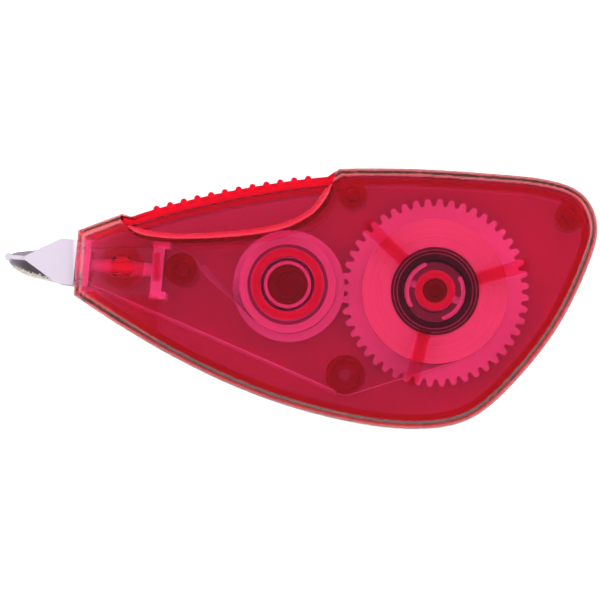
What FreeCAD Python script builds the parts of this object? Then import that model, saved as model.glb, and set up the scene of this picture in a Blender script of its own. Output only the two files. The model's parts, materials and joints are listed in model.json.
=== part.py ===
# Correction tape roller: a two-shell translucent housing with a geared supply spool, a geared
# take-up spool with a slipping drum, an applicator head that swivels about its own axis, and the
# tape between them.
#
# Frame: the roller lies flat on its rear shell. +Z is along both spool axes, -X points to the
# applicator tip and +Y to the finger grip. The origin is under the middle of the bounding box.
import FreeCAD, Part
import math
import os
import Sketcher

V = FreeCAD.Vector
DOC = FreeCAD.newDocument("correction_tape_roller")

SIZES = {
    # housing
    "thick": 13.0, "mid": 6.5, "half": 6.46, "floor": 1.3, "foot": 1.2, "side": 1.3, "rim": 1.6,
    "taper": 1.6, "taper_start": 22.0, "grip_depth": 1.3, "grip_floor": 2.5,
    "bead": 0.5, "bead_length": 4.6, "lip_top": 8.5, "lip_play": 0.06, "lip_width": 0.89,
    "rib_top": 3.5, "rib_width": 2.0, "rib_start": 6.4, "rib_end": 14.1,
    # ends of the posts of the rear shell, and of the bosses and pins of the front shell
    "spool_post_top": 9.3, "guide_top": 10.6, "snap_top": 9.0, "boss_end": 3.65,
    "supply_pin_end": 6.4, "takeup_pin_end": 5.5, "guide_pin_end": 5.0, "snap_pin_end": 6.5,
    "socket_depth": 3.4,
    # spool axes, with their posts
    "supply_x": 20.85, "supply_y": 1.2, "takeup_x": -1.9, "takeup_y": 2.25,
    "supply_post": 1.85, "supply_socket": 1.0, "supply_pin": 0.9, "supply_boss": 3.1,
    "takeup_post": 3.05, "takeup_bore": 2.05, "takeup_pin": 1.9,
    "takeup_boss": 5.6, "takeup_boss_bore": 4.25,
    # tape guide posts and snap posts
    "guide_x": 7.0, "guide_y": -11.7, "guide": 3.0, "guide_bore": 2.2, "guide_pin": 2.1,
    "guide_pin_bore": 1.0, "turn_x": -18.3, "turn_y": 4.57, "turn": 2.5, "turn_bore": 1.3,
    "turn_pin": 1.2, "snap": 2.2, "snap_bore": 1.2, "snap_pin": 1.1,
    "snap_top_x": 8.1, "snap_top_y": 16.2, "snap_rear_x": 41.6, "snap_rear_y": 12.8,
    # saddles that hold the shaft of the head
    "saddle_x": -27.4, "saddle_y": 5.07, "saddle_foot": 3.36, "saddle_step": 3.5,
    "saddle": 1.86, "saddle_top": 6.35, "saddle_play": 0.27,
    # rib that the crossbar of the head stops against
    "stop_x": -22.05, "stop_y": 4.88, "stop_width": 1.1, "stop_length": 4.3, "stop_top": 2.85,
    # gears
    "module": 0.6, "supply_teeth": 48, "takeup_teeth": 28, "gear_z": 2.7, "gear_width": 1.0,
    "supply_tip": 14.63, "supply_root": 13.5, "takeup_tip": 8.65, "takeup_root": 7.95,
    "gear_bore": 6.0, "seat": 11.0, "flange": 8.7, "flange_width": 0.3,
    # spools and tape
    "tape_z": 4.1, "tape_width": 5.0, "coil": 11.2, "core": 6.8, "core_bore": 5.65,
    "ring_bore": 4.78, "arm": 4.73, "arm_inner": 4.03, "hub_bore": 1.9, "hub": 3.1,
    "sleeve": 3.65, "sleeve_bore": 3.12, "drum": 6.35, "drum_bore": 3.7, "drum_gap": 4.2,
    "film_coil": 7.45, "film": 0.14,
    # applicator head, in its own frame along its axis
    "tip_x": -45.75, "tip_y": 6.74, "head_slope": -5.3, "bead_tip": 0.55, "cheek_in": 2.6,
    "cheek": 0.8, "neck": 2.85, "shaft": 1.1, "shaft_thick": 1.25,
}

SHEET = DOC.addObject("Spreadsheet::Sheet", "Sizes")
for row, (alias, size) in enumerate(SIZES.items(), start=1):
    SHEET.set(f"A{row}", alias)
    SHEET.set(f"B{row}", str(size))
    SHEET.setAlias(f"B{row}", alias)
DOC.recompute()

REAR, FRONT = 1, -1


# ---- small helpers -------------------------------------------------------------------------

def point(x, y):
    return V(x, y, 0)


def turn(x, y, degrees):
    """The point (x, y) turned about the origin."""
    a = math.radians(degrees)
    return (x * math.cos(a) - y * math.sin(a), x * math.sin(a) + y * math.cos(a))


def polar(radius, degrees):
    return turn(radius, 0, degrees)


def new_body(name, x="0", y="0", z="0"):
    """A body whose origin sits at x, y, z, given as expressions."""
    body = DOC.addObject("PartDesign::Body", name)
    body.Label = name
    for axis, text in (("x", x), ("y", y), ("z", z)):
        body.setExpression(f"Placement.Base.{axis}", text)
    return body


def sketch_on(body, name, offset="0", role="XY_Plane"):
    """An empty sketch on one of the body's own origin planes, moved along its normal."""
    sketch = body.newObject("Sketcher::SketchObject", name + "_sketch")
    plane = next(f for f in body.Origin.OriginFeatures if f.Role == role)
    sketch.AttachmentSupport = (plane, [""])
    sketch.MapMode = "FlatFace"
    sketch.setExpression("AttachmentOffset.Base.z", offset)
    return sketch


def bind(sketch, constraint, expression):
    sketch.setExpression(f"Constraints[{sketch.addConstraint(constraint)}]", expression)


def circle(sketch, radius, x=None, y=None):
    """A circle bound to the sheet: radius, and centre from the origin."""
    index = sketch.addGeometry(Part.Circle(V(0, 0, 0), V(0, 0, 1), 1.0))
    if x is None:
        sketch.addConstraint(Sketcher.Constraint("Coincident", index, 3, -1, 1))
    else:
        bind(sketch, Sketcher.Constraint("DistanceX", -1, 1, index, 3, 1.0), x)
        bind(sketch, Sketcher.Constraint("DistanceY", -1, 1, index, 3, 1.0), y)
    bind(sketch, Sketcher.Constraint("Radius", index, 1.0), radius)


def line(sketch, start, end):
    sketch.addGeometry(Part.LineSegment(point(*start), point(*end)))


def arc(sketch, start, middle, end):
    sketch.addGeometry(Part.Arc(point(*start), point(*middle), point(*end)))


def spline(sketch, points):
    curve = Part.BSplineCurve()
    curve.interpolate([point(*p) for p in points])
    sketch.addGeometry(curve)


def polygon(sketch, points):
    for start, end in zip(points, points[1:] + points[:1]):
        line(sketch, start, end)


def pad(body, name, sketch, length, centred=False):
    feature = body.newObject("PartDesign::Pad", name)
    feature.Profile = sketch
    if centred:
        feature.SideType = "Symmetric"
    feature.setExpression("Length", length)
    return feature


def pocket(body, name, sketch, length, forward=False, centred=False):
    """A pocket against the sketch's normal, or along it when forward."""
    feature = body.newObject("PartDesign::Pocket", name)
    feature.Profile = sketch
    feature.Reversed = forward
    if centred:
        feature.SideType = "Symmetric"
    feature.setExpression("Length", length)
    return feature


def ring(body, name, level, height, outer, inner=None, x=None, y=None):
    """A post, disc or ring: one or two circles padded up from a level."""
    sketch = sketch_on(body, name, level)
    circle(sketch, outer, x, y)
    if inner:
        circle(sketch, inner, x, y)
    return pad(body, name, sketch, height)


def inset(points, distance):
    """Points of a closed outline moved inward by a wall thickness, with mitred corners."""
    moved = []
    count = len(points)
    for i, (x, y) in enumerate(points):
        (ax, ay), (bx, by) = points[i - 1], points[(i + 1) % count]
        before = math.atan2(y - ay, x - ax)
        after = math.atan2(by - y, bx - x)
        half_turn = math.remainder(after - before, 2 * math.pi) / 2
        normal = before + half_turn - math.pi / 2
        reach = distance / math.cos(half_turn)
        moved.append((x + reach * math.cos(normal), y + reach * math.sin(normal)))
    return moved


def check(before, feature):
    """A pocket has to take material away."""
    DOC.recompute()
    if feature.Shape.Volume >= before.Shape.Volume - 1e-3:
        raise RuntimeError(f"{feature.Name} cuts nothing")


# ---- housing -------------------------------------------------------------------------------

# The long smooth edge, clockwise from the step behind the grip, round the back, to the nose.
SMOOTH_EDGE = [(6.2, 20.05), (18.7, 19.95), (31.1, 19.1), (39.3, 18.0), (43.6, 16.0),
               (45.85, 11.0), (44.7, 5.8), (39.8, -4.3), (32.3, -13.7), (25.9, -18.7),
               (18.3, -20.1), (6.3, -18.7), (-6.1, -15.1), (-18.5, -9.5), (-34.95, 0.6)]
NOSE_TOP = (-34.3, 10.7)
BROW = (-27.4, 13.2)
NOTCH = (-26.0, 12.75)
GRIP_MIDDLE = (-11.0, 16.55)
GRIP_END = (4.3, 18.8)
# The edge of the sunk grip panel, from the notch down and back up to the step.
GRIP_RIDGE = [(-27.6, 12.3), (-26.3, 10.9), (-24.2, 9.75), (-18.5, 9.1), (-9.2, 9.5),
              (-2.7, 10.6), (1.8, 12.7), (4.2, 15.4), (5.3, 18.2), (5.6, 23.0)]
GRIP_BEADS = 12
BEAD_PITCH = 2.17
FIRST_BEAD = (-22.1, 14.0)


def outline(sketch, distance, side):
    """The housing's outline, moved inward by a distance. The front shell is drawn mirrored."""
    corners = [NOSE_TOP, BROW, NOTCH, GRIP_MIDDLE, GRIP_END]
    points = [(x, side * y) for x, y in inset(SMOOTH_EDGE + corners, distance)]
    smooth, (nose, brow, notch, middle, grip_end) = points[:-5], points[-5:]
    spline(sketch, smooth)
    line(sketch, smooth[-1], nose)
    line(sketch, nose, brow)
    line(sketch, brow, notch)
    arc(sketch, notch, middle, grip_end)
    line(sketch, grip_end, smooth[0])


def grip_panel(sketch, side, drop):
    """The region above the grip ridge, with the ridge lowered by a wall thickness."""
    ridge = [(x, side * (y - drop)) for x, y in GRIP_RIDGE]
    top = side * 26.0
    spline(sketch, ridge)
    line(sketch, ridge[-1], (ridge[-1][0], top))
    line(sketch, (ridge[-1][0], top), (ridge[0][0], top))
    line(sketch, (ridge[0][0], top), ridge[0])


def grip_centres():
    """Bead centres at an even pitch along the arc of the grip, from the nose backward."""
    grip = Part.Arc(point(*NOTCH), point(*GRIP_MIDDLE), point(*GRIP_END)).toShape().Curve
    first = math.atan2(FIRST_BEAD[1] - grip.Center.y, FIRST_BEAD[0] - grip.Center.x)
    step = BEAD_PITCH / grip.Radius
    return [grip.Center + V(grip.Radius * math.cos(first - step * n),
                            grip.Radius * math.sin(first - step * n), 0)
            for n in range(GRIP_BEADS)]


def rim_edges(shape):
    """The edges round the outer face, which lies near local z = 0."""
    lowest = SIZES["taper"] + 0.05
    names = []
    for number, edge in enumerate(shape.Edges, start=1):
        box = edge.BoundBox
        across = box.XLength < 0.01 and abs(box.XMin + SIZES["taper_start"]) < 0.01
        if box.ZMax < lowest and not across:
            names.append(f"Edge{number}")
    return names


def shell_block(body, side):
    """The outer form: outline, nose taper, rounded rim, sunk grip panel and grip beads."""
    sketch = sketch_on(body, "outline")
    outline(sketch, 0, side)
    block = pad(body, "block", sketch, "Sizes.half")
    sketch = sketch_on(body, "nose_taper", role="XZ_Plane")
    start, end, drop = -SIZES["taper_start"], -36.0, SIZES["taper"]
    polygon(sketch, [(start, 0), (end, drop), (end, -1.0), (start, -1.0)])
    taper = pocket(body, "nose_taper", sketch, "60", centred=True)
    check(block, taper)
    rim = body.newObject("PartDesign::Fillet", "rim")
    rim.Base = (taper, rim_edges(taper.Shape))
    rim.setExpression("Radius", "Sizes.rim")
    DOC.recompute()
    sketch = sketch_on(body, "grip_panel")
    grip_panel(sketch, side, 0)
    panel = pocket(body, "grip_panel", sketch, "Sizes.grip_depth", forward=True)
    check(rim, panel)
    sketch = sketch_on(body, "grip_beads", "Sizes.half - Sizes.bead_length")
    for centre in grip_centres():
        circle(sketch, "Sizes.bead", f"{centre.x:.3f}", f"{side * centre.y:.3f}")
    pad(body, "grip_beads", sketch, "Sizes.bead_length")


def shell_cavity(body, side):
    """The hollow inside: a low one under the grip panel and the nose, a deep one elsewhere."""
    DOC.recompute()
    whole = body.Tip
    sketch = sketch_on(body, "low_cavity", "Sizes.half")
    outline(sketch, SIZES["side"], side)
    low = pocket(body, "low_cavity", sketch, "Sizes.half - Sizes.grip_floor")
    check(whole, low)
    sketch = sketch_on(body, "deep_cavity", "Sizes.half")
    inner = [(x, side * y) for x, y in inset(SMOOTH_EDGE + [NOSE_TOP, BROW, NOTCH, GRIP_END],
                                             SIZES["side"])][:len(SMOOTH_EDGE)]
    behind_nose = -SIZES["taper_start"]
    edge = Part.BSplineCurve()
    edge.interpolate([point(*p) for p in inner])
    cross = edge.intersect(Part.Line(point(behind_nose, 0), point(behind_nose, 1)))[0]
    edge.segment(edge.FirstParameter, edge.parameter(V(cross.X, cross.Y, 0)))
    sketch.addGeometry(edge)
    ridge = [(x + 0.7, side * (y - 1.0)) for x, y in GRIP_RIDGE[3:9]]
    first = (behind_nose, ridge[0][1] + side * 0.05)
    line(sketch, (cross.X, cross.Y), first)
    line(sketch, first, ridge[0])
    spline(sketch, ridge)
    line(sketch, ridge[-1], inner[0])
    deep = pocket(body, "deep_cavity", sketch, "Sizes.half - Sizes.floor")
    check(low, deep)
    sketch = sketch_on(body, "nose_cavity", f"{-side * 4.2}", role="XZ_Plane")
    top, start, end = SIZES["half"], -21.9, -33.4
    slope = SIZES["taper"] / (36.0 - SIZES["taper_start"])
    polygon(sketch, [(start, top), (start, SIZES["floor"]),
                     (end, SIZES["floor"] + slope * (start - end)), (end, top)])
    nose = pocket(body, "nose_cavity", sketch, "7.4", centred=True)
    check(deep, nose)


def nose_opening(body, side):
    """Round seat for the neck of the head, with a slot above and below for the tape."""
    DOC.recompute()
    before = body.Tip
    y, z, seat = side * 5.72, SIZES["mid"], SIZES["neck"] + 0.15
    wide, above, below, land = 3.15, 3.1, 3.75, 1.5
    sketch = sketch_on(body, "nose_opening", "-37", role="YZ_Plane")
    high, low = (above, below) if side > 0 else (below, above)
    reach = math.sqrt(seat**2 - land**2)
    over = SIZES["lip_top"] + 0.5
    polygon(sketch, [(y + high, over), (y + high, z - wide), (y + land, z - wide),
                     (y + land, z - reach), (y, z - seat), (y - land, z - reach),
                     (y - land, z - wide), (y - low, z - wide), (y - low, over)])
    opening = pocket(body, "nose_opening", sketch, "4.4", forward=True)
    check(before, opening)


def saddle(body, side):
    """A stepped boss with a groove across its end, which cups the shaft of the head."""
    centre = {"x": "Sizes.saddle_x", "y": f"{side} * Sizes.saddle_y"}
    ring(body, "saddle_foot", "Sizes.foot", "Sizes.saddle_step - Sizes.foot",
         "Sizes.saddle_foot", "Sizes.saddle", **centre)
    ring(body, "saddle", "Sizes.foot", "Sizes.saddle_top - Sizes.foot", "Sizes.saddle", **centre)
    DOC.recompute()
    before = body.Tip
    sketch = sketch_on(body, "saddle_groove", "Sizes.saddle_x - 2.5", role="YZ_Plane")
    circle(sketch, "Sizes.shaft_thick + Sizes.saddle_play", f"{side} * Sizes.saddle_y",
           "Sizes.mid")
    groove = pocket(body, "saddle_groove", sketch, "5", forward=True)
    check(before, groove)


def head_stop(body, side):
    """The short oblong rib that limits how far the crossbar of the head can swing."""
    sketch = sketch_on(body, "head_stop", "Sizes.foot")
    x, y = SIZES["stop_x"], side * SIZES["stop_y"]
    across, along = SIZES["stop_width"] / 2, SIZES["stop_length"] / 2
    polygon(sketch, [(x - across, y - along), (x + across, y - along),
                     (x + across, y + along), (x - across, y + along)])
    pad(body, "head_stop", sketch, "Sizes.stop_top - Sizes.foot")


def post(body, name, place, side, top, outer, inner=None):
    """A post from the floor up to a level, at a named place on the sheet."""
    bore = f"Sizes.{inner}" if inner else None
    ring(body, name, "Sizes.foot", f"Sizes.{top} - Sizes.foot", f"Sizes.{outer}", bore,
         f"Sizes.{place}_x", f"{side} * Sizes.{place}_y")


def lip_gap(body):
    """The lip stops short on both sides of the head's inner flange."""
    DOC.recompute()
    before = body.Tip
    sketch = sketch_on(body, "lip_gap", "Sizes.lip_top + 0.5")
    polygon(sketch, [(-33.6, 1.2), (-31.6, 1.2), (-31.6, 9.6), (-33.4, 9.6)])
    gap = pocket(body, "lip_gap", sketch, "Sizes.lip_top + 0.5 - 2.9")
    check(before, gap)


def rear_shell():
    """Carries the spool posts, the guide posts, the snap sockets and the locating lip."""
    body = new_body("rear_shell")
    shell_block(body, REAR)
    shell_cavity(body, REAR)
    sketch = sketch_on(body, "lip", "Sizes.foot")
    start = SIZES["side"] + SIZES["lip_play"]
    outline(sketch, start, REAR)
    outline(sketch, start + SIZES["lip_width"], REAR)
    pad(body, "lip", sketch, "Sizes.lip_top - Sizes.foot")
    lip_gap(body)
    nose_opening(body, REAR)
    post(body, "supply_post", "supply", REAR, "spool_post_top", "supply_post")
    post(body, "takeup_post", "takeup", REAR, "spool_post_top", "takeup_post", "takeup_bore")
    post(body, "guide_post", "guide", REAR, "guide_top", "guide", "guide_bore")
    post(body, "turn_post", "turn", REAR, "guide_top", "turn", "turn_bore")
    post(body, "snap_top", "snap_top", REAR, "snap_top", "snap", "snap_bore")
    post(body, "snap_rear", "snap_rear", REAR, "snap_top", "snap", "snap_bore")
    DOC.recompute()
    before = body.Tip
    sketch = sketch_on(body, "supply_socket", "Sizes.spool_post_top")
    circle(sketch, "Sizes.supply_socket", "Sizes.supply_x", "Sizes.supply_y")
    socket = pocket(body, "supply_socket", sketch, "Sizes.socket_depth")
    check(before, socket)
    saddle(body, REAR)
    head_stop(body, REAR)
    return body


def coil_rib(body, degrees):
    """One radial rib over the tape coil, with a rounded outer end."""
    half, start, end = SIZES["rib_width"] / 2, SIZES["rib_start"], SIZES["rib_end"]
    x, y = SIZES["supply_x"], -SIZES["supply_y"]

    def at(u, v):
        px, py = turn(u, v, -degrees)
        return (x + px, y + py)

    sketch = sketch_on(body, f"coil_rib_{int(degrees)}", "Sizes.foot")
    line(sketch, at(start, -half), at(end, -half))
    arc(sketch, at(end, -half), at(end + half, 0), at(end, half))
    line(sketch, at(end, half), at(start, half))
    line(sketch, at(start, half), at(start, -half))
    pad(body, f"coil_rib_{int(degrees)}", sketch, "Sizes.rib_top - Sizes.foot")


def front_shell():
    """Closes the housing. Its pins enter the posts of the rear shell."""
    body = new_body("front_shell", z="Sizes.thick")
    body.Placement = FreeCAD.Placement(V(0, 0, SIZES["thick"]), FreeCAD.Rotation(V(1, 0, 0), 180))
    shell_block(body, FRONT)
    shell_cavity(body, FRONT)
    nose_opening(body, FRONT)
    post(body, "supply_boss", "supply", FRONT, "boss_end", "supply_boss", "hub_bore")
    post(body, "supply_pin", "supply", FRONT, "supply_pin_end", "supply_pin")
    post(body, "takeup_boss", "takeup", FRONT, "boss_end", "takeup_boss", "takeup_boss_bore")
    post(body, "takeup_pin", "takeup", FRONT, "takeup_pin_end", "takeup_pin")
    post(body, "guide_pin", "guide", FRONT, "guide_pin_end", "guide_pin", "guide_pin_bore")
    post(body, "turn_pin", "turn", FRONT, "guide_pin_end", "turn_pin")
    post(body, "snap_top_pin", "snap_top", FRONT, "snap_pin_end", "snap_pin")
    post(body, "snap_rear_pin", "snap_rear", FRONT, "snap_pin_end", "snap_pin")
    for degrees in (15.5, 135.5, 255.5):
        coil_rib(body, degrees)
    saddle(body, FRONT)
    head_stop(body, FRONT)
    return body


# ---- gears and spools ----------------------------------------------------------------------

def tooth(sketch, teeth, tip, root):
    """One involute tooth with a rounded tip and a foot that flares into the root circle."""
    pitch = SIZES["module"] * teeth / 2
    pressure = math.radians(20)
    base = pitch * math.cos(pressure)
    play = 0.05 / pitch

    def half_width(radius):
        angle = math.acos(min(1.0, base / radius))
        roll = math.tan(pressure) - pressure - math.tan(angle) + angle
        return math.pi / (2 * teeth) - play + roll

    def flank(radius, sign):
        return polar(radius, math.degrees(sign * half_width(radius)))

    foot, shoulder = root + 0.22, tip - 0.1
    middle = (foot + shoulder) / 2
    gullet = math.degrees(math.pi / teeth)
    for sign in (1, -1):
        edge = math.degrees(sign * half_width(foot))
        flare = sign * gullet * 0.9
        arc(sketch, flank(foot, sign), flank(middle, sign), flank(shoulder, sign))
        arc(sketch, flank(foot, sign), polar(root + 0.05, edge * 0.55 + flare * 0.45),
            polar(root - 0.04, flare))
    arc(sketch, flank(shoulder, 1), polar(tip, 0), flank(shoulder, -1))
    arc(sketch, polar(root - 0.04, -gullet * 0.9), polar(root - 0.3, 0),
        polar(root - 0.04, gullet * 0.9))


def toothed_disc(body, name, teeth, tip, root, bore):
    """A spur gear at the bottom of a body: a root disc and a ring of teeth."""
    disc = ring(body, name + "_disc", "0", "Sizes.gear_width", f"Sizes.{root}", f"Sizes.{bore}")
    sketch = sketch_on(body, name + "_tooth")
    tooth(sketch, SIZES[teeth], SIZES[tip], SIZES[root])
    one = pad(body, name + "_tooth", sketch, "Sizes.gear_width")
    pattern = body.newObject("PartDesign::PolarPattern", name + "_teeth")
    pattern.Originals = [one]
    pattern.Axis = (disc.Profile[0], ["N_Axis"])
    pattern.Angle = 360
    pattern.setExpression("Occurrences", f"Sizes.{teeth}")
    body.Tip = pattern
    DOC.recompute()


SUPPLY_PHASE = 4.27


def takeup_phase():
    """The pinion's turn that puts a gap where a tooth of the big gear points at it."""
    dx = SIZES["takeup_x"] - SIZES["supply_x"]
    dy = SIZES["takeup_y"] - SIZES["supply_y"]
    heading = math.degrees(math.atan2(dy, dx))
    pitch = 360 / SIZES["supply_teeth"]
    off = math.remainder(SUPPLY_PHASE - heading, pitch)
    ratio = SIZES["supply_teeth"] / SIZES["takeup_teeth"]
    return heading + 180 - off * ratio + 180 / SIZES["takeup_teeth"]


def spool_body(name, axis, z, degrees=0):
    body = new_body(name, f"Sizes.{axis}_x", f"Sizes.{axis}_y", z)
    body.Placement = FreeCAD.Placement(V(0, 0, 0), FreeCAD.Rotation(V(0, 0, 1), degrees))
    return body


def supply_gear():
    """Big gear whose flat face carries the tape coil on a raised seat."""
    body = spool_body("supply_gear", "supply", "Sizes.gear_z", SUPPLY_PHASE)
    toothed_disc(body, "supply_gear", "supply_teeth", "supply_tip", "supply_root", "gear_bore")
    ring(body, "coil_seat", "Sizes.gear_width", "Sizes.tape_z - Sizes.gear_z - Sizes.gear_width",
         "Sizes.seat", "Sizes.gear_bore")
    return body


def supply_core():
    """Smoke-coloured core that the tape is wound on, plugged into the gear."""
    body = spool_body("supply_core", "supply", "Sizes.gear_z")
    ring(body, "plug", "0", "Sizes.tape_z - Sizes.gear_z", "Sizes.gear_bore", "Sizes.core_bore")
    ring(body, "barrel", "Sizes.tape_z - Sizes.gear_z", "Sizes.tape_width + 0.2",
         "Sizes.core", "Sizes.core_bore")
    DOC.recompute()
    before = body.Tip
    sketch = sketch_on(body, "face_groove", "Sizes.tape_z - Sizes.gear_z + Sizes.tape_width + 0.2")
    circle(sketch, "Sizes.core - 0.42")
    circle(sketch, "Sizes.core_bore + 0.2")
    groove = pocket(body, "face_groove", sketch, "0.5")
    check(before, groove)
    return body


def friction_ring():
    """Black rubber ring inside the core. The arms of the hub drag on it."""
    body = spool_body("friction_ring", "supply", "Sizes.gear_z + 0.3")
    ring(body, "ring", "0", "6.1", "Sizes.core_bore", "Sizes.ring_bore")
    DOC.recompute()
    base = body.Tip
    edges = [f"Edge{i}" for i, e in enumerate(base.Shape.Edges, start=1)
             if e.BoundBox.ZLength < 0.01 and e.BoundBox.ZMin > 6.0
             and e.BoundBox.XMax < SIZES["ring_bore"] + 0.01]
    worn = body.newObject("PartDesign::Fillet", "worn_edge")
    worn.Base = (base, edges)
    worn.Radius = 0.3
    return body


def friction_hub():
    """White brake hub keyed to the rear post: a ring and two sprung C-shaped arms."""
    body = spool_body("friction_hub", "supply", "Sizes.floor + 0.02")
    ring(body, "hub", "0", "7.9", "Sizes.hub", "Sizes.hub_bore")
    inner, outer = SIZES["arm_inner"], SIZES["arm"] - 0.02
    middle, cap, half_span = (inner + outer) / 2, 0.42, 48.0
    for number, centre in enumerate((160.0, 338.0)):
        sketch = sketch_on(body, f"arm_{number}", "2.4")
        first, last = centre - half_span, centre + half_span
        arc(sketch, polar(outer, first), polar(outer, centre), polar(outer, last))
        arc(sketch, polar(inner, first), polar(inner, centre), polar(inner, last))
        cap_turn = math.degrees(cap / middle)
        arc(sketch, polar(outer, first), polar(middle, first - cap_turn), polar(inner, first))
        arc(sketch, polar(outer, last), polar(middle, last + cap_turn), polar(inner, last))
        pad(body, f"arm_{number}", sketch, "4.6")
        sketch = sketch_on(body, f"bridge_{number}", "2.4")
        corners = [(2.6, -0.55), (4.2, -0.55), (4.2, 0.55), (2.6, 0.55)]
        polygon(sketch, [turn(u, v, centre) for u, v in corners])
        pad(body, f"bridge_{number}", sketch, "3.4")
    return body


def correction_tape_coil():
    """The wound correction tape that is left on the supply spool."""
    body = spool_body("correction_tape_coil", "supply", "Sizes.tape_z")
    ring(body, "coil", "0", "Sizes.tape_width", "Sizes.coil", "Sizes.core")
    return body


def takeup_gear():
    """Pinion, flange and sleeve in one moulding."""
    body = spool_body("takeup_gear", "takeup", "Sizes.gear_z", takeup_phase())
    toothed_disc(body, "pinion", "takeup_teeth", "takeup_tip", "takeup_root", "sleeve_bore")
    ring(body, "flange", "Sizes.gear_width", "Sizes.flange_width",
         "Sizes.flange", "Sizes.sleeve_bore")
    ring(body, "sleeve", "Sizes.gear_width", "5.5", "Sizes.sleeve", "Sizes.sleeve_bore")
    return body


def takeup_drum():
    """Drum that winds the used film. It grips the sleeve and slips as the wound film grows."""
    body = spool_body("takeup_drum", "takeup", "Sizes.gear_z + 1.34")
    ring(body, "grip_collar", "0", "1.4", "Sizes.drum", "Sizes.drum_bore")
    ring(body, "drum", "1.4", "3.7", "Sizes.drum", "Sizes.drum_gap")
    DOC.recompute()
    before = body.Tip
    sketch = sketch_on(body, "face_groove", "5.1")
    circle(sketch, "Sizes.drum - 0.15")
    circle(sketch, "Sizes.takeup_boss + 0.05")
    groove = pocket(body, "face_groove", sketch, "0.9")
    check(before, groove)
    return body


def used_film_coil():
    """Used carrier film wound on the drum, its last turn lying a little loose."""
    body = spool_body("used_film_coil", "takeup", "Sizes.tape_z")
    ring(body, "coil", "0", "Sizes.tape_width", "Sizes.film_coil", "Sizes.drum")
    return body


# ---- applicator head -----------------------------------------------------------------------

def head_body(name):
    """A body in the head's frame: x along the axis from the tip, origin at half thickness."""
    body = new_body(name, "Sizes.tip_x", "Sizes.tip_y", "Sizes.mid")
    turned = FreeCAD.Rotation(V(0, 0, 1), SIZES["head_slope"])
    body.Placement = FreeCAD.Placement(V(0, 0, 0), turned)
    return body


def channel_section(sketch, half_height, web_low, web_high, half_width):
    """Section of two side plates with a web between them. The tape runs above and below it."""
    inner = SIZES["cheek_in"]
    polygon(sketch, [(-half_height, -half_width), (half_height, -half_width),
                     (half_height, -inner), (web_high, -inner), (web_high, inner),
                     (half_height, inner), (half_height, half_width), (-half_height, half_width),
                     (-half_height, inner), (web_low, inner), (web_low, -inner),
                     (-half_height, -inner)])


def applicator_head():
    """White head in one moulding: bead, spine, cheeks, neck, flange, shaft and crossbar."""
    body = head_body("applicator_head")
    sketch = sketch_on(body, "spine")
    polygon(sketch, [(0.6, -0.31), (7.8, -0.31), (9.2, -1.2), (11.2, -1.2), (11.2, 1.2),
                     (9.2, 1.2), (7.8, 0.31), (0.6, 0.31)])
    pad(body, "spine", sketch, "2 * Sizes.cheek_in + 0.2", centred=True)
    sketch = sketch_on(body, "nose_bead", "-Sizes.cheek_in - 0.1")
    circle(sketch, "Sizes.bead_tip", "Sizes.bead_tip", "0")
    pad(body, "nose_bead", sketch, "2 * Sizes.cheek_in + 0.1")
    front_cheek(body)
    rear_cheek(body)
    neck_and_shaft(body)
    for name, level in (("front_tab", "Sizes.cheek_in"), ("rear_tab", "-3.15")):
        for end, start in (("top", 3.3), ("bottom", -4.4)):
            sketch = sketch_on(body, f"{name}_{end}", level)
            polygon(sketch, [(24.6, start), (25.5, start), (25.5, start + 1.1),
                             (24.6, start + 1.1)])
            pad(body, f"{name}_{end}", sketch, "0.55")
    return body


def front_cheek(body):
    """Triangular guard with a rounded point, which widens into the round base."""
    sketch = sketch_on(body, "front_cheek", "Sizes.cheek_in")
    base = [(9.1, 3.52), (10.85, 3.52), (11.05, 3.3), (11.05, -3.3), (10.85, -3.52), (9.1, -3.52)]
    for start, end in zip(base, base[1:]):
        line(sketch, start, end)
    for side in (1, -1):
        line(sketch, (3.45, side * 0.45), (8.0, side * 3.2))
        arc(sketch, (8.0, side * 3.2), (8.55, side * 3.45), (9.1, side * 3.52))
    arc(sketch, (3.45, -0.45), (3.1, 0), (3.45, 0.45))
    pad(body, "front_cheek", sketch, "Sizes.cheek")


def rear_cheek(body):
    """The larger guard behind, whose edge follows the loop of tape."""
    sketch = sketch_on(body, "rear_cheek", "-Sizes.cheek_in - Sizes.cheek")
    spline(sketch, [(8.7, 3.3), (7.0, 2.25), (4.4, 1.65), (2.0, 1.2), (0.45, 0.66), (0.0, 0.0),
                    (0.6, -1.0), (2.4, -2.2), (5.4, -2.85), (8.7, -3.4)])
    corners = [(8.7, -3.4), (11.05, -3.5), (11.05, 3.5), (8.7, 3.3)]
    for start, end in zip(corners, corners[1:]):
        line(sketch, start, end)
    pad(body, "rear_cheek", sketch, "Sizes.cheek")


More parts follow.
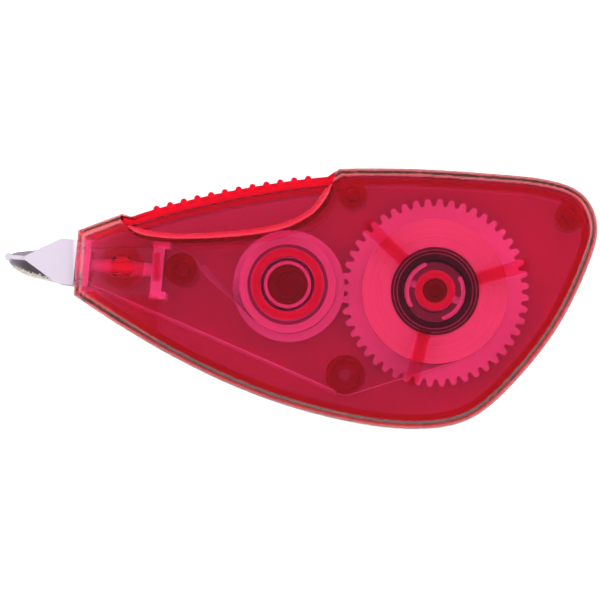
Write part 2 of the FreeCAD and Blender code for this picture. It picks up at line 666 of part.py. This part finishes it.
def neck_and_shaft(body):
    """Everything inside the housing: the neck in its seat, the flange, the shaft, the crossbar."""
    sketch = sketch_on(body, "neck", "10.8", role="YZ_Plane")
    high, low, radius = 2.0, -2.45, SIZES["neck"]
    wide_high, wide_low = math.sqrt(radius**2 - high**2), math.sqrt(radius**2 - low**2)
    line(sketch, (high, -wide_high), (high, wide_high))
    arc(sketch, (high, wide_high), (0, radius), (low, wide_low))
    line(sketch, (low, wide_low), (low, -wide_low))
    arc(sketch, (low, -wide_low), (0, -radius), (high, -wide_high))
    pad(body, "neck", sketch, "2.0")
    sketch = sketch_on(body, "flange", "12.6", role="YZ_Plane")
    channel_section(sketch, 3.5, -2.45, 2.0, 3.15)
    pad(body, "flange", sketch, "0.8")
    sketch = sketch_on(body, "shaft", "13.3", role="YZ_Plane")
    circle(sketch, "Sizes.shaft")
    pad(body, "shaft", sketch, "9.9")
    sketch = sketch_on(body, "shaft_collar", "16.6", role="YZ_Plane")
    circle(sketch, "Sizes.shaft_thick")
    pad(body, "shaft_collar", sketch, "3.8")
    sketch = sketch_on(body, "crossbar", "23.05", role="YZ_Plane")
    channel_section(sketch, 4.4, -3.5, 3.5, 3.15)
    pad(body, "crossbar", sketch, "1.7")


# ---- tape runs -----------------------------------------------------------------------------

def tangent(centre_a, radius_a, centre_b, radius_b):
    """Where a line touches two circles. A radius is positive if the line passes on its left."""
    dx, dy = centre_b[0] - centre_a[0], centre_b[1] - centre_a[1]
    length = math.hypot(dx, dy)
    lean = math.atan2(dy, dx) + math.acos((radius_a - radius_b) / length)
    normal = (math.cos(lean), math.sin(lean))
    return [(c[0] + r * normal[0], c[1] + r * normal[1])
            for c, r in ((centre_a, radius_a), (centre_b, radius_b))]


def strip_side(sketch, start, start_radius, post_centre, post_radius, end, end_radius):
    """One face of a strip: straight to a post, round it, and straight on. Returns its ends."""
    first, on = tangent(start, start_radius, post_centre, post_radius)
    off, last = tangent(post_centre, post_radius, end, end_radius)
    middle_angle = math.atan2((on[1] + off[1]) / 2 - post_centre[1],
                              (on[0] + off[0]) / 2 - post_centre[0])
    middle = (post_centre[0] + abs(post_radius) * math.cos(middle_angle),
              post_centre[1] + abs(post_radius) * math.sin(middle_angle))
    line(sketch, first, on)
    arc(sketch, on, middle, off)
    line(sketch, off, last)
    return first, last


def strip(name, start, start_radius, post_centre, post_radius, end, end_radius):
    """A thin strip that leaves a coil or a point, bends round a post and reaches another."""
    body = new_body(name, z="Sizes.tape_z")
    sketch = sketch_on(body, name)
    sides = [strip_side(sketch, start, start_radius + grow, post_centre, post_radius + grow,
                        end, end_radius + grow) for grow in (0.0, SIZES["film"])]
    for near, far in zip(*sides):
        line(sketch, near, far)
    pad(body, name, sketch, "Sizes.tape_width")
    return body


def on_head(u, v):
    """A point of the head's frame in the housing's frame."""
    x, y = turn(u, v, SIZES["head_slope"])
    return (SIZES["tip_x"] + x, SIZES["tip_y"] + y)


def tape_feed_run():
    """Fresh tape from the coil, under the guide post and on to the nose."""
    coil = (SIZES["supply_x"], SIZES["supply_y"])
    guide = (SIZES["guide_x"], SIZES["guide_y"])
    return strip("tape_feed_run", coil, SIZES["coil"] + 0.06, guide, SIZES["guide"] + 0.03,
                 on_head(13.75, -3.15), 0.0)


def tape_return_run():
    """Used film from the crossbar, over the turning post and on to the take-up drum."""
    start = on_head(25.75, 3.85)
    post_centre = (SIZES["turn_x"], SIZES["turn_y"])
    coil = (SIZES["takeup_x"], SIZES["takeup_y"])
    return strip("tape_return_run", start, 0.0, post_centre, SIZES["turn"] + 0.03,
                 coil, -SIZES["film_coil"] - 0.25)


def tape_tip_loop():
    """Tape round the tip, from the lower slot over the bead and back along the shaft."""
    body = head_body("tape_tip_loop")
    route = [(13.5, -3.15), (8.4, -3.1), (5.0, -2.85), (2.6, -2.25), (0.75, -1.25), (-0.1, -0.1),
             (0.35, 0.8), (1.9, 1.4), (5.0, 1.95), (9.0, 2.25), (13.2, 2.55), (19.4, 3.3),
             (25.5, 3.95)]
    sketch = sketch_on(body, "loop")
    outer = []
    for i, (x, y) in enumerate(route):
        (ax, ay), (bx, by) = route[max(i - 1, 0)], route[min(i + 1, len(route) - 1)]
        length = math.hypot(bx - ax, by - ay)
        grow = SIZES["film"] / length
        outer.append((x - (by - ay) * grow, y + (bx - ax) * grow))
    spline(sketch, route)
    spline(sketch, outer)
    line(sketch, route[0], outer[0])
    line(sketch, route[-1], outer[-1])
    pad(body, "loop", sketch, "Sizes.tape_width", centred=True)
    return body


# ---- the whole roller ----------------------------------------------------------------------

PIECES = [rear_shell, front_shell, supply_gear, supply_core, friction_ring, friction_hub,
          correction_tape_coil, takeup_gear, takeup_drum, used_film_coil, applicator_head,
          tape_feed_run, tape_tip_loop, tape_return_run]


def main():
    bodies = [make() for make in PIECES]
    DOC.recompute()
    for item in DOC.Objects:
        if "Invalid" in item.State or "Error" in item.State:
            raise RuntimeError(f"{item.Name} failed: {item.State}")
    os.makedirs("parts", exist_ok=True)
    for body in bodies:
        shape = body.Shape
        if shape.isNull() or not shape.isValid() or len(shape.Solids) != 1:
            raise RuntimeError(f"{body.Label} has no valid single solid")
        shape.exportStep(f"parts/{body.Label}.step")
        print(f"{body.Label}: {shape.Volume:.1f} mm3")


main()
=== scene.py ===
import json
import math
import random

import bmesh
import bpy
from mathutils import Matrix, Vector


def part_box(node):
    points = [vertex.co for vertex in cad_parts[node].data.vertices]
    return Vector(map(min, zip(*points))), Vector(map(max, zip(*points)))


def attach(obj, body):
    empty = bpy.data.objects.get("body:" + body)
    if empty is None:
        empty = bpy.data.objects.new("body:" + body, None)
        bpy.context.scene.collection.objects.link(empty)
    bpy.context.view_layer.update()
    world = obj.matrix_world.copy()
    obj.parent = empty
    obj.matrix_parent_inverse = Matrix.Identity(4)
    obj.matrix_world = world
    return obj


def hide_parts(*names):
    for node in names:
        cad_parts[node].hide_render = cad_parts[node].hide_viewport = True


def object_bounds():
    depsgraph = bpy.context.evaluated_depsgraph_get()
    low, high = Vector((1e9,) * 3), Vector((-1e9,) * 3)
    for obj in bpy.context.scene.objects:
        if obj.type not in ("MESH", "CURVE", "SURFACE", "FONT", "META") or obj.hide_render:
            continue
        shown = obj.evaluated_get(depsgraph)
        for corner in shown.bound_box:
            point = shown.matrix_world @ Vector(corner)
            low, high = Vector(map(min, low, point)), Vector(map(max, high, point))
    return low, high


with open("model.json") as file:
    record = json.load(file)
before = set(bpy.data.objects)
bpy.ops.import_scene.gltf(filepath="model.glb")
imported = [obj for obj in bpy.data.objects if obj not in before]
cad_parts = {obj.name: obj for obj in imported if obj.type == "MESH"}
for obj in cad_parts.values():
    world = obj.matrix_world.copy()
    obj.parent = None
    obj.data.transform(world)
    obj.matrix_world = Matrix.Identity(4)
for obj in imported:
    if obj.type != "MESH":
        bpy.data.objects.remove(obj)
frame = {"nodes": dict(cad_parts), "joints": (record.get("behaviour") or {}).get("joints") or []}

CAD_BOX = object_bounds()
MM = 0.001
NODES = frame["nodes"]
JOINTS = {joint["name"]: joint for joint in frame["joints"]}

# Camera: nearly overhead, a little towards the roller's lower right.
CAMERA_DISTANCE = 0.6
FRAME_WIDTH = 0.0931
LEAN_RIGHT = math.radians(1.7)
LEAN_DOWN = math.radians(2.6)

# Surround and floor. The sky's stops are (height, brightness), from the horizon to overhead.
SKY = 3.3
SKY_STOPS = ((0.44, 0.24), (0.62, 1.0), (0.82, 1.0), (0.94, 0.03))
FLOOR_SIZE = 4
FLOOR_GAP = 0.05 * MM
FLOOR_GLOW = 0.12

# Each face of the nose drops by this much for every unit of length beyond NOSE_START, in mm.
NOSE_TAPER = 1.6 / 14.0
NOSE_START = -22.0

# Faces that meet at less than this angle are shaded as one surface.
SMOOTH_ANGLE = math.radians(32)
RIDGE_SMOOTH_ANGLE = math.radians(50)
WELD_DISTANCE = 0.001 * MM

# The head's axis runs from its tip towards the housing.
HEAD_ALONG = Vector(JOINTS["head_swivel"]["axis"]).normalized()
HEAD_ACROSS = Vector((0, 0, 1)).cross(HEAD_ALONG)
TIP_TO_JOINT = 18.43 * MM
TIP = Vector(JOINTS["head_swivel"]["pos_m"]) - HEAD_ALONG * TIP_TO_JOINT

# The housing's mouth, in mm along X, where the head's painted light changes: its outside is
# painted darker to offset the bright light on it, its inside painted brighter to offset the
# housing's shade.
MOUTH = (-35.2, -34.2)

TAPE_HALF_WIDTH = 2.5 * MM
RIBBON_HALF_THICKNESS = 0.03 * MM

# Under the guide post to the nose, and over the turning post to the take-up drum, in mm.
FEED_ROUTE = [(24.2, -9.62), (16.0, -12.16), (9.5, -14.17), (7.92, -14.66), (6.9, -14.8),
              (5.75, -14.54), (4.2, -13.86), (-10.0, -7.6), (-21.0, -2.75), (-32.38, 2.27)]
RETURN_ROUTE = [(-19.72, 8.26), (-18.4, 7.56), (-17.09, 6.87), (-16.42, 6.37), (-15.0, 4.89),
                (-11.5, 1.24), (-7.41, -3.03)]

# Round the tip, as (along, across) from TIP, in mm.
FILM_ROUTE = [(13.5, -3.1), (8.4, -3.0), (5.0, -2.72), (2.6, -2.12), (0.85, -1.2), (0.0, -0.1),
              (0.4, 0.72), (1.9, 1.42), (5.0, 2.0), (9.0, 2.3), (13.2, 2.6), (19.4, 3.35),
              (25.5, 4.0)]
LAYER_ROUTE = [(13.5, -3.22), (8.4, -3.12), (5.0, -2.84), (2.6, -2.24), (1.3, -1.7)]
SPIKE_ROUTE = [(1.0, -1.3), (0.5, -1.0), (0.1, -0.62), (-0.1, -0.2)]
SPIKE_SAMPLES = 12

# Edge of the sunk grip panel, in mm, and its skirt's section as (outward in mm, share of the
# depth).
RIDGE_ROUTE = [(-26.5, 11.1), (-24.2, 9.8), (-18.5, 9.15), (-9.2, 9.55), (-2.7, 10.65),
               (1.8, 12.75), (4.15, 15.4), (5.1, 17.6)]
RIDGE_PROFILE = [(0.04, 0.04), (0.3, 0.12), (0.62, 0.4), (0.85, 0.8), (0.95, 1.0), (0.04, 1.0)]
RIDGE_DEPTH = 1.26
RIDGE_FADE = 16


# ---- node graphs ---------------------------------------------------------------------------

class Graph:
    """Adds nodes to a material or a world, and links them in one call each."""

    def __init__(self, owner):
        self.tree = owner.node_tree

    def add(self, kind, inputs=None, **settings):
        node = self.tree.nodes.new("ShaderNode" + kind)
        for key, value in settings.items():
            setattr(node, key, value)
        for key, value in (inputs or {}).items():
            if isinstance(value, bpy.types.NodeSocket):
                self.link(value, node.inputs[key])
            else:
                node.inputs[key].default_value = value
        return node

    def link(self, source, target):
        self.tree.links.new(source, target)


def shader_of(material):
    return material.node_tree.nodes["Principled BSDF"]


def adjust(material, settings):
    """Sets values on the shader's own sockets."""
    for socket, value in settings.items():
        shader_of(material).inputs[socket].default_value = value
    return material


def new_material(name, colour, roughness):
    material = bpy.data.materials.new(name)
    material.use_nodes = True
    return adjust(material, {"Base Color": (*colour, 1), "Roughness": roughness})


# ---- camera, floor and light ---------------------------------------------------------------

def make_camera():
    low, high = CAD_BOX
    target = Vector(((low.x + high.x) / 2, (low.y + high.y) / 2, high.z / 2))
    toward = Vector((math.tan(LEAN_RIGHT), -math.tan(LEAN_DOWN), 1)).normalized()
    right = Vector((0, 1, 0)).cross(toward).normalized()
    turned = Matrix((right, toward.cross(right), toward)).transposed()
    data = bpy.data.cameras.new("camera")
    data.lens = data.sensor_width * CAMERA_DISTANCE / FRAME_WIDTH
    data.clip_start = 0.01
    camera = bpy.data.objects.new("camera", data)
    camera.location = target + toward * CAMERA_DISTANCE
    camera.rotation_mode = "QUATERNION"
    camera.rotation_quaternion = turned.to_quaternion()
    bpy.context.scene.collection.objects.link(camera)
    bpy.context.scene.camera = camera


def make_floor():
    """A softly lit white table top, a hair below the clear shell that rests on it."""
    bpy.ops.mesh.primitive_plane_add(size=FLOOR_SIZE, location=(0, 0, -FLOOR_GAP))
    floor = bpy.context.object
    floor.name = "floor"
    material = new_material("floor", (0.93, 0.93, 0.93), 0.9)
    adjust(material, {"Specular IOR Level": 0.1, "Emission Color": (1, 1, 1, 1),
                      "Emission Strength": FLOOR_GLOW})
    floor.data.materials.append(material)


def area_light(name, location, size, power):
    """A soft box that faces the roller."""
    data = bpy.data.lights.new(name, "AREA")
    data.shape = "RECTANGLE"
    data.size, data.size_y = size
    data.energy = power
    light = bpy.data.objects.new(name, data)
    light.location = location
    light.rotation_mode = "QUATERNION"
    light.rotation_quaternion = Vector(location).to_track_quat("Z", "Y")
    bpy.context.scene.collection.objects.link(light)


def make_light():
    """A bright ring of sky part of the way up, dim overhead, with two soft boxes for shape."""
    area_light("key_left", (-0.55, 0.25, 0.6), (0.5, 0.8), 2.0)
    area_light("key_right", (0.6, 0.15, 0.55), (0.5, 0.8), 1.5)
    world = bpy.data.worlds.new("surround")
    world.use_nodes = True
    graph = Graph(world)
    split = graph.add("SeparateXYZ", {0: graph.add("TexCoord").outputs["Generated"]})
    ramp = graph.add("ValToRGB", {"Fac": split.outputs["Z"]})
    stops = ramp.color_ramp.elements
    stops.remove(stops[-1])
    for number, (height, level) in enumerate(SKY_STOPS):
        stop = stops.new(height) if number else stops[0]
        stop.position = height
        stop.color = (level, level, level, 1)
    strength = graph.add("Math", {0: ramp.outputs["Color"], 1: SKY}, operation="MULTIPLY")
    background = world.node_tree.nodes["Background"]
    background.inputs["Color"].default_value = (1, 1, 1, 1)
    graph.link(strength.outputs[0], background.inputs["Strength"])
    bpy.context.scene.world = world


# ---- materials -----------------------------------------------------------------------------

def wear(graph, shader, roughness, spread, scale, bump):
    """Uneven gloss and a faint orange-peel surface."""
    place = graph.add("TexCoord").outputs["Object"]
    broad = graph.add("TexNoise", {"Vector": place, "Scale": scale, "Detail": 4.0})
    gloss = graph.add("MapRange", {"Value": broad.outputs["Fac"], "To Min": roughness,
                                   "To Max": roughness + spread})
    graph.link(gloss.outputs["Result"], shader.inputs["Roughness"])
    fine = graph.add("TexNoise", {"Vector": place, "Scale": scale * 6, "Detail": 3.0})
    height = graph.add("Bump", {"Height": fine.outputs["Fac"], "Strength": bump,
                                "Distance": 0.02 * MM})
    graph.link(height.outputs["Normal"], shader.inputs["Normal"])
    return place


def tinted_plastic(name, absorbed, density, roughness, tint):
    """Clear plastic that takes out colour with depth."""
    material = new_material(name, tint, roughness)
    adjust(material, {"Transmission Weight": 0.997, "IOR": 1.5})
    graph = Graph(material)
    wear(graph, shader_of(material), roughness, 0.05, 180, 0.15)
    volume = graph.add("VolumeAbsorption", {"Color": (*absorbed, 1), "Density": density})
    output = material.node_tree.nodes["Material Output"]
    graph.link(volume.outputs["Volume"], output.inputs["Volume"])
    return material


def moulding(name, colour, roughness):
    """Satin plastic with faint mottling."""
    material = new_material(name, colour, roughness)
    graph = Graph(material)
    place = wear(graph, shader_of(material), roughness, 0.12, 220, 0.2)
    patches = graph.add("TexNoise", {"Vector": place, "Scale": 120.0, "Detail": 2.0})
    mottle = graph.add("MixRGB", {"Fac": patches.outputs["Fac"], "Color1": (*colour, 1),
                                  "Color2": (*[c * 0.94 for c in colour], 1)})
    graph.link(mottle.outputs["Color"], shader_of(material).inputs["Base Color"])
    return material


def mottled_colour(material):
    """The colour that a moulding gives its shader."""
    mottle = next(node for node in material.node_tree.nodes if node.type == "MIX_RGB")
    return mottle.outputs["Color"]


def spool_axis(joint):
    return JOINTS[joint]["pos_m"][:2]


def radius_about(graph, axis):
    """Distance from a spool's axis."""
    place = graph.add("TexCoord").outputs["Object"]
    flat = graph.add("VectorMath", {0: place, 1: (1, 1, 0)}, operation="MULTIPLY")
    radius = graph.add("VectorMath", {0: flat.outputs[0], 1: (*axis, 0)}, operation="DISTANCE")
    return radius.outputs["Value"]


def wound_layers(name, axis, colour, pitch, roughness):
    """Edges of wound tape: fine rings about the spool's axis, with a few slack turns."""
    material = new_material(name, colour, roughness)
    graph = Graph(material)
    turns = graph.add("Math", {0: radius_about(graph, axis), 1: 1 / pitch},
                      operation="MULTIPLY")
    line = graph.add("TexNoise", {"W": turns.outputs[0], "Scale": 1.0, "Detail": 4.0,
                                  "Roughness": 0.7}, noise_dimensions="1D")
    shade = graph.add("MapRange", {"Value": line.outputs["Fac"], "From Min": 0.3,
                                   "From Max": 0.7, "To Min": 0.86, "To Max": 1.0})
    mix = graph.add("MixRGB", {"Fac": 1.0, "Color1": (*colour, 1),
                               "Color2": shade.outputs["Result"]}, blend_type="MULTIPLY")
    graph.link(mix.outputs["Color"], shader_of(material).inputs["Base Color"])
    bump = graph.add("Bump", {"Height": line.outputs["Fac"], "Strength": 0.5,
                              "Distance": 0.05 * MM})
    graph.link(bump.outputs["Normal"], shader_of(material).inputs["Normal"])
    return material


def ringed_painted_light(name, axis, colour, roughness, rings):
    """Moulding with rings of painted highlight and painted shade about a spool's axis: (radius,
    half width, colour), sizes in mm.
    """
    material = moulding(name, colour, roughness)
    graph = Graph(material)
    shade = mottled_colour(material)
    radius = radius_about(graph, axis)
    for middle, half, painted_tone in rings:
        away = graph.add("Math", {0: radius, 1: middle * MM}, operation="SUBTRACT")
        off = graph.add("Math", {0: away.outputs[0]}, operation="ABSOLUTE")
        cover = graph.add("MapRange", {"Value": off.outputs[0], "From Min": half * 1.3 * MM,
                                       "From Max": half * 0.7 * MM})
        mix = graph.add("MixRGB", {"Fac": cover.outputs["Result"], "Color1": shade,
                                   "Color2": (*painted_tone, 1)})
        shade = mix.outputs["Color"]
    graph.link(shade, shader_of(material).inputs["Base Color"])
    return material


def head_moulding(name, outside, inside, roughness):
    """White moulding with painted light: the cheeks outside the housing are painted darker than
    the part within it, which is painted brighter to offset the housing's shade.
    """
    material = moulding(name, inside, roughness)
    graph = Graph(material)
    place = graph.add("SeparateXYZ", {0: graph.add("TexCoord").outputs["Object"]})
    reach = graph.add("MapRange", {"Value": place.outputs["X"], "From Min": MOUTH[0] * MM,
                                   "From Max": MOUTH[1] * MM})
    cover = graph.add("MixRGB", {"Fac": reach.outputs["Result"], "Color1": (*outside, 1),
                                 "Color2": mottled_colour(material)})
    graph.link(cover.outputs["Color"], shader_of(material).inputs["Base Color"])
    return material


def dress(node, material):
    mesh = NODES[node].data
    mesh.materials.clear()
    mesh.materials.append(material)


# ---- pieces from meshes --------------------------------------------------------------------

def new_piece(name, mesh, material):
    """Turns a bmesh into an object in the scene."""
    data = bpy.data.meshes.new(name)
    mesh.to_mesh(data)
    mesh.free()
    data.materials.append(material)
    piece = bpy.data.objects.new(name, data)
    bpy.context.scene.collection.objects.link(piece)
    return piece


def skin(mesh, rings):
    """Faces from each ring of vertices to the next, closed at both ends."""
    count = len(rings[0])
    for one, two in zip(rings, rings[1:]):
        for i in range(count):
            mesh.faces.new((one[i], two[i], two[(i + 1) % count], one[(i + 1) % count]))
    mesh.faces.new(rings[0])
    mesh.faces.new(rings[-1])
    bmesh.ops.recalc_face_normals(mesh, faces=mesh.faces)


def smooth_route(points, count):
    """Even samples of a smooth curve through the route's points, in mm."""
    samples = []
    spans = len(points) - 1
    for n in range(count + 1):
        place = n * spans / count
        i = min(int(place), spans - 1)
        s = place - i
        a, b = points[max(i - 1, 0)], points[i]
        c, d = points[i + 1], points[min(i + 2, spans)]
        samples.append(Vector([(2 * q + (r - p) * s + (2 * p - 5 * q + 4 * r - w) * s * s
                                + (3 * q - p - 3 * r + w) * s ** 3) / 2
                               for p, q, r, w in zip(a, b, c, d)]))
    return samples


def heading(samples, n):
    """Direction of a route at its n-th sample."""
    before, after = samples[max(n - 1, 0)], samples[min(n + 1, len(samples) - 1)]
    return (after - before).normalized()


def band(name, samples, inner, outer, origin, along, across, half_width, material,
         twist=lambda t: 0.0):
    """A strip on edge along a route, with inner and outer offsets and half width in metres."""
    mesh = bmesh.new()
    rings = []
    for n, place in enumerate(samples):
        direction = heading(samples, n)
        normal = along * direction.y - across * direction.x
        base = origin + (along * place.x + across * place.y) * MM
        lean = twist(n / (len(samples) - 1))
        up = Vector((0, 0, math.cos(lean))) + normal * math.sin(lean)
        rings.append([mesh.verts.new(base + normal * offset + up * half_width(n, top))
                      for offset, top in ((inner(n), -1), (outer(n), -1),
                                          (outer(n), 1), (inner(n), 1))])
    skin(mesh, rings)
    return new_piece(name, mesh, material)


# ---- housing -------------------------------------------------------------------------------

def is_plane(normal):
    """True on the level faces and on the tapered faces of the nose."""
    level = abs(normal.z) > math.cos(math.radians(0.3))
    taper_x = math.sin(math.atan(NOSE_TAPER))
    taper = abs(normal.y) < 0.002 and abs(abs(normal.x) - taper_x) < 0.004
    return level or taper


def corner_normals(data):
    """Exact normals on plane faces, which the rounded faces that meet them take up too."""
    faces = data.polygons
    plane = [is_plane(face.normal) for face in faces]
    upright = [abs(face.normal.z) < 0.01 for face in faces]
    around = [[] for vertex in data.vertices]
    for face in faces:
        for vertex in face.vertices:
            around[vertex].append(face.index)
    normals = []
    for face in faces:
        for vertex in face.vertices:
            near = [i for i in around[vertex]
                    if face.normal.dot(faces[i].normal) > math.cos(SMOOTH_ANGLE)]
            if plane[face.index]:
                near = [face.index]
            elif any(plane[i] for i in near):
                near = [i for i in near if plane[i]]
            elif any(upright[i] for i in near):
                near = [i for i in near if upright[i]]
            total = sum((faces[i].normal * faces[i].area for i in near), Vector())
            normals.append(total.normalized())
    return normals


def clean_shell(node, name, material):
    """The shell's own form, shaded flat on its plane faces and smooth on its curves."""
    mesh = bmesh.new()
    mesh.from_mesh(NODES[node].data)
    bmesh.ops.remove_doubles(mesh, verts=mesh.verts, dist=WELD_DISTANCE)
    piece = new_piece(name, mesh, material)
    piece.data.shade_smooth()
    piece.data.normals_split_custom_set(corner_normals(piece.data))
    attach(piece, "housing")
    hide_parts(node)


def grip_ridge(name, side, material):
    """Rounded skirt that fills the corner between the outer face and the sunk grip panel."""
    low, high = CAD_BOX
    face = high.z if side > 0 else low.z
    samples = smooth_route(RIDGE_ROUTE, 120)
    mesh = bmesh.new()
    rings = []
    for n, place in enumerate(samples):
        direction = heading(samples, n)
        taper = max(0.0, NOSE_START - place.x) * NOSE_TAPER
        fade = min(1.0, (n + 4) / RIDGE_FADE, (len(samples) - n + 3) / RIDGE_FADE)
        ring = []
        for out, down in RIDGE_PROFILE:
            x = place.x - direction.y * out * fade
            y = place.y + direction.x * out * fade
            depth = taper + (RIDGE_DEPTH - taper) * down
            ring.append(mesh.verts.new((x * MM, y * MM, face - side * depth * MM)))
        rings.append(ring)
    skin(mesh, rings)
    piece = new_piece(name, mesh, material)
    piece.data.shade_smooth()
    piece.data.set_sharp_from_angle(angle=RIDGE_SMOOTH_ANGLE)
    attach(piece, "housing")


# ---- tape inside the housing ---------------------------------------------------------------

def feed_lean(t):
    """The long run to the nose leans a little, and is upright at the post and the slot."""
    return math.radians(7) * math.sin(math.pi * max(0.0, (t - 0.55) / 0.45)) ** 0.5


def return_lean(t):
    """The slack run to the drum twists over past its middle."""
    return math.radians(13) * math.exp(-((t - 0.72) / 0.12) ** 2)


def tape_ribbon(name, node, route, leaning, material):
    low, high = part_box(node)
    middle = Vector((0, 0, (low[2] + high[2]) / 2))
    piece = band(name, smooth_route(route, 140), lambda n: -RIBBON_HALF_THICKNESS,
                 lambda n: RIBBON_HALF_THICKNESS, middle, Vector((1, 0, 0)),
                 Vector((0, 1, 0)), lambda n, top: top * TAPE_HALF_WIDTH, material, leaning)
    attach(piece, "housing")
    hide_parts(node)


# ---- tape over the tip ---------------------------------------------------------------------

def tip_film(material):
    """The clear carrier film, from the lower slot over the bead and back above the shaft."""
    piece = band("tip_film", smooth_route(FILM_ROUTE, 180), lambda n: 0.0,
                 lambda n: 2 * RIBBON_HALF_THICKNESS, TIP, HEAD_ALONG, HEAD_ACROSS,
                 lambda n, top: top * TAPE_HALF_WIDTH, material)
    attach(piece, "head")
    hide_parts("tape_tip_loop")


def tip_tape_layer(material):
    """Fresh correction layer outside the film, crumbled along the last stretch to the tip."""
    samples = smooth_route(LAYER_ROUTE, 160)
    chips = random.Random(5)
    rough = [chips.random() for n in range(len(samples))]

    def outer(n):
        """Offset of the outer face, which swells and chips as the layer wears."""
        soft = (rough[max(n - 1, 0)] + rough[n] + rough[min(n + 1, len(samples) - 1)]) / 3
        chip = 0.2 if rough[n] > 0.86 else 0.0
        worn = min(1.0, n / 50)
        return (0.16 + worn * (0.12 + 0.42 * soft + chip)) * MM

    def half_width(n, top):
        worn = min(1.0, n / 60)
        frayed = rough[(n * 7) % len(rough)]
        return top * TAPE_HALF_WIDTH * (0.98 - 0.1 * worn * frayed)

    piece = band("tip_tape_layer", samples, lambda n: 0.02 * MM, outer, TIP, HEAD_ALONG,
                 HEAD_ACROSS, half_width, material)
    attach(piece, "head")


def tip_film_spike(material):
    """A frayed corner of film that stands off the upper half of the bead."""
    def outer(n):
        return (0.1 + 0.13 * math.sin(n / SPIKE_SAMPLES * math.pi)) * MM

    def reach(n, top):
        return TAPE_HALF_WIDTH * (0.9 if top > 0 else 0.45)

    piece = band("tip_film_spike", smooth_route(SPIKE_ROUTE, SPIKE_SAMPLES),
                 lambda n: 0.08 * MM, outer, TIP, HEAD_ALONG, HEAD_ACROSS, reach, material)
    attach(piece, "head")


# ---- the scene -----------------------------------------------------------------------------

make_camera()
make_floor()
make_light()

supply, takeup = spool_axis("supply_spin"), spool_axis("takeup_spin")
red = tinted_plastic("red_housing", (0.975, 0.09, 0.5), 650.0, 0.06, (1.0, 0.51, 0.69))
white = moulding("white_moulding", (0.95, 0.93, 0.98), 0.42)
# One white plastic, painted darker outside the housing and brighter within it: painted light and
# shade.
head_painted_light = head_moulding("head_moulding", (0.37, 0.325, 0.39), (0.9, 0.88, 0.92), 0.35)
# Dark smoke core; the two pale thin rings are painted highlights on its rim and groove edges.
smoke = ringed_painted_light("smoke_core", supply, (0.1, 0.075, 0.07), 0.12,
               ((6.36, 0.06, (0.5, 0.4, 0.4)), (5.85, 0.07, (0.45, 0.32, 0.32))))
# White drum; the darker ring at 5.95 mm is painted shade in its front groove.
drum_painted_groove_shade = ringed_painted_light("drum_moulding_painted_shade", takeup, (0.95, 0.93, 0.98), 0.42,
                    ((5.95, 0.33, (0.5, 0.42, 0.5)),))
ridge_red = adjust(moulding("ridge_red", (0.7, 0.012, 0.04), 0.2),
                   {"Specular IOR Level": 0.1, "Transmission Weight": 0.4})
rubber = moulding("black_rubber", (0.015, 0.015, 0.016), 0.6)
tape_wound = wound_layers("tape_wound", supply, (0.86, 0.8, 0.7), 0.25 * MM, 0.5)
film_wound = wound_layers("film_wound", takeup, (0.85, 0.82, 0.85), 0.2 * MM, 0.35)
film = moulding("release_film", (0.72, 0.68, 0.71), 0.3)
clear_film = adjust(moulding("clear_film", (0.62, 0.6, 0.63), 0.2), {"Alpha": 0.25})
crumbled = adjust(moulding("crumbled_tape", (0.66, 0.6, 0.53), 0.75), {"Alpha": 0.6})
tape = moulding("correction_tape", (0.9, 0.88, 0.87), 0.6)

clean_shell("rear_shell", "rear_shell_skin", red)
clean_shell("front_shell", "front_shell_skin", red)
grip_ridge("front_grip_ridge", 1, ridge_red)
grip_ridge("rear_grip_ridge", -1, ridge_red)
for node in ("supply_gear", "takeup_gear", "friction_hub"):
    dress(node, white)
dress("takeup_drum", drum_painted_groove_shade)
dress("applicator_head", head_painted_light)
dress("supply_core", smoke)
dress("friction_ring", rubber)
dress("correction_tape_coil", tape_wound)
dress("used_film_coil", film_wound)
tape_ribbon("feed_ribbon", "tape_feed_run", FEED_ROUTE, feed_lean, tape)
tip_film(clear_film)
tip_tape_layer(crumbled)
tip_film_spike(clear_film)
tape_ribbon("return_ribbon", "tape_return_run", RETURN_ROUTE, return_lean, film)

# Light crosses many clear walls, so its paths are long.
bpy.context.scene.view_settings.view_transform = "Standard"
cycles = bpy.context.scene.cycles
cycles.max_bounces = 24
cycles.transmission_bounces = 24
cycles.transparent_max_bounces = 24
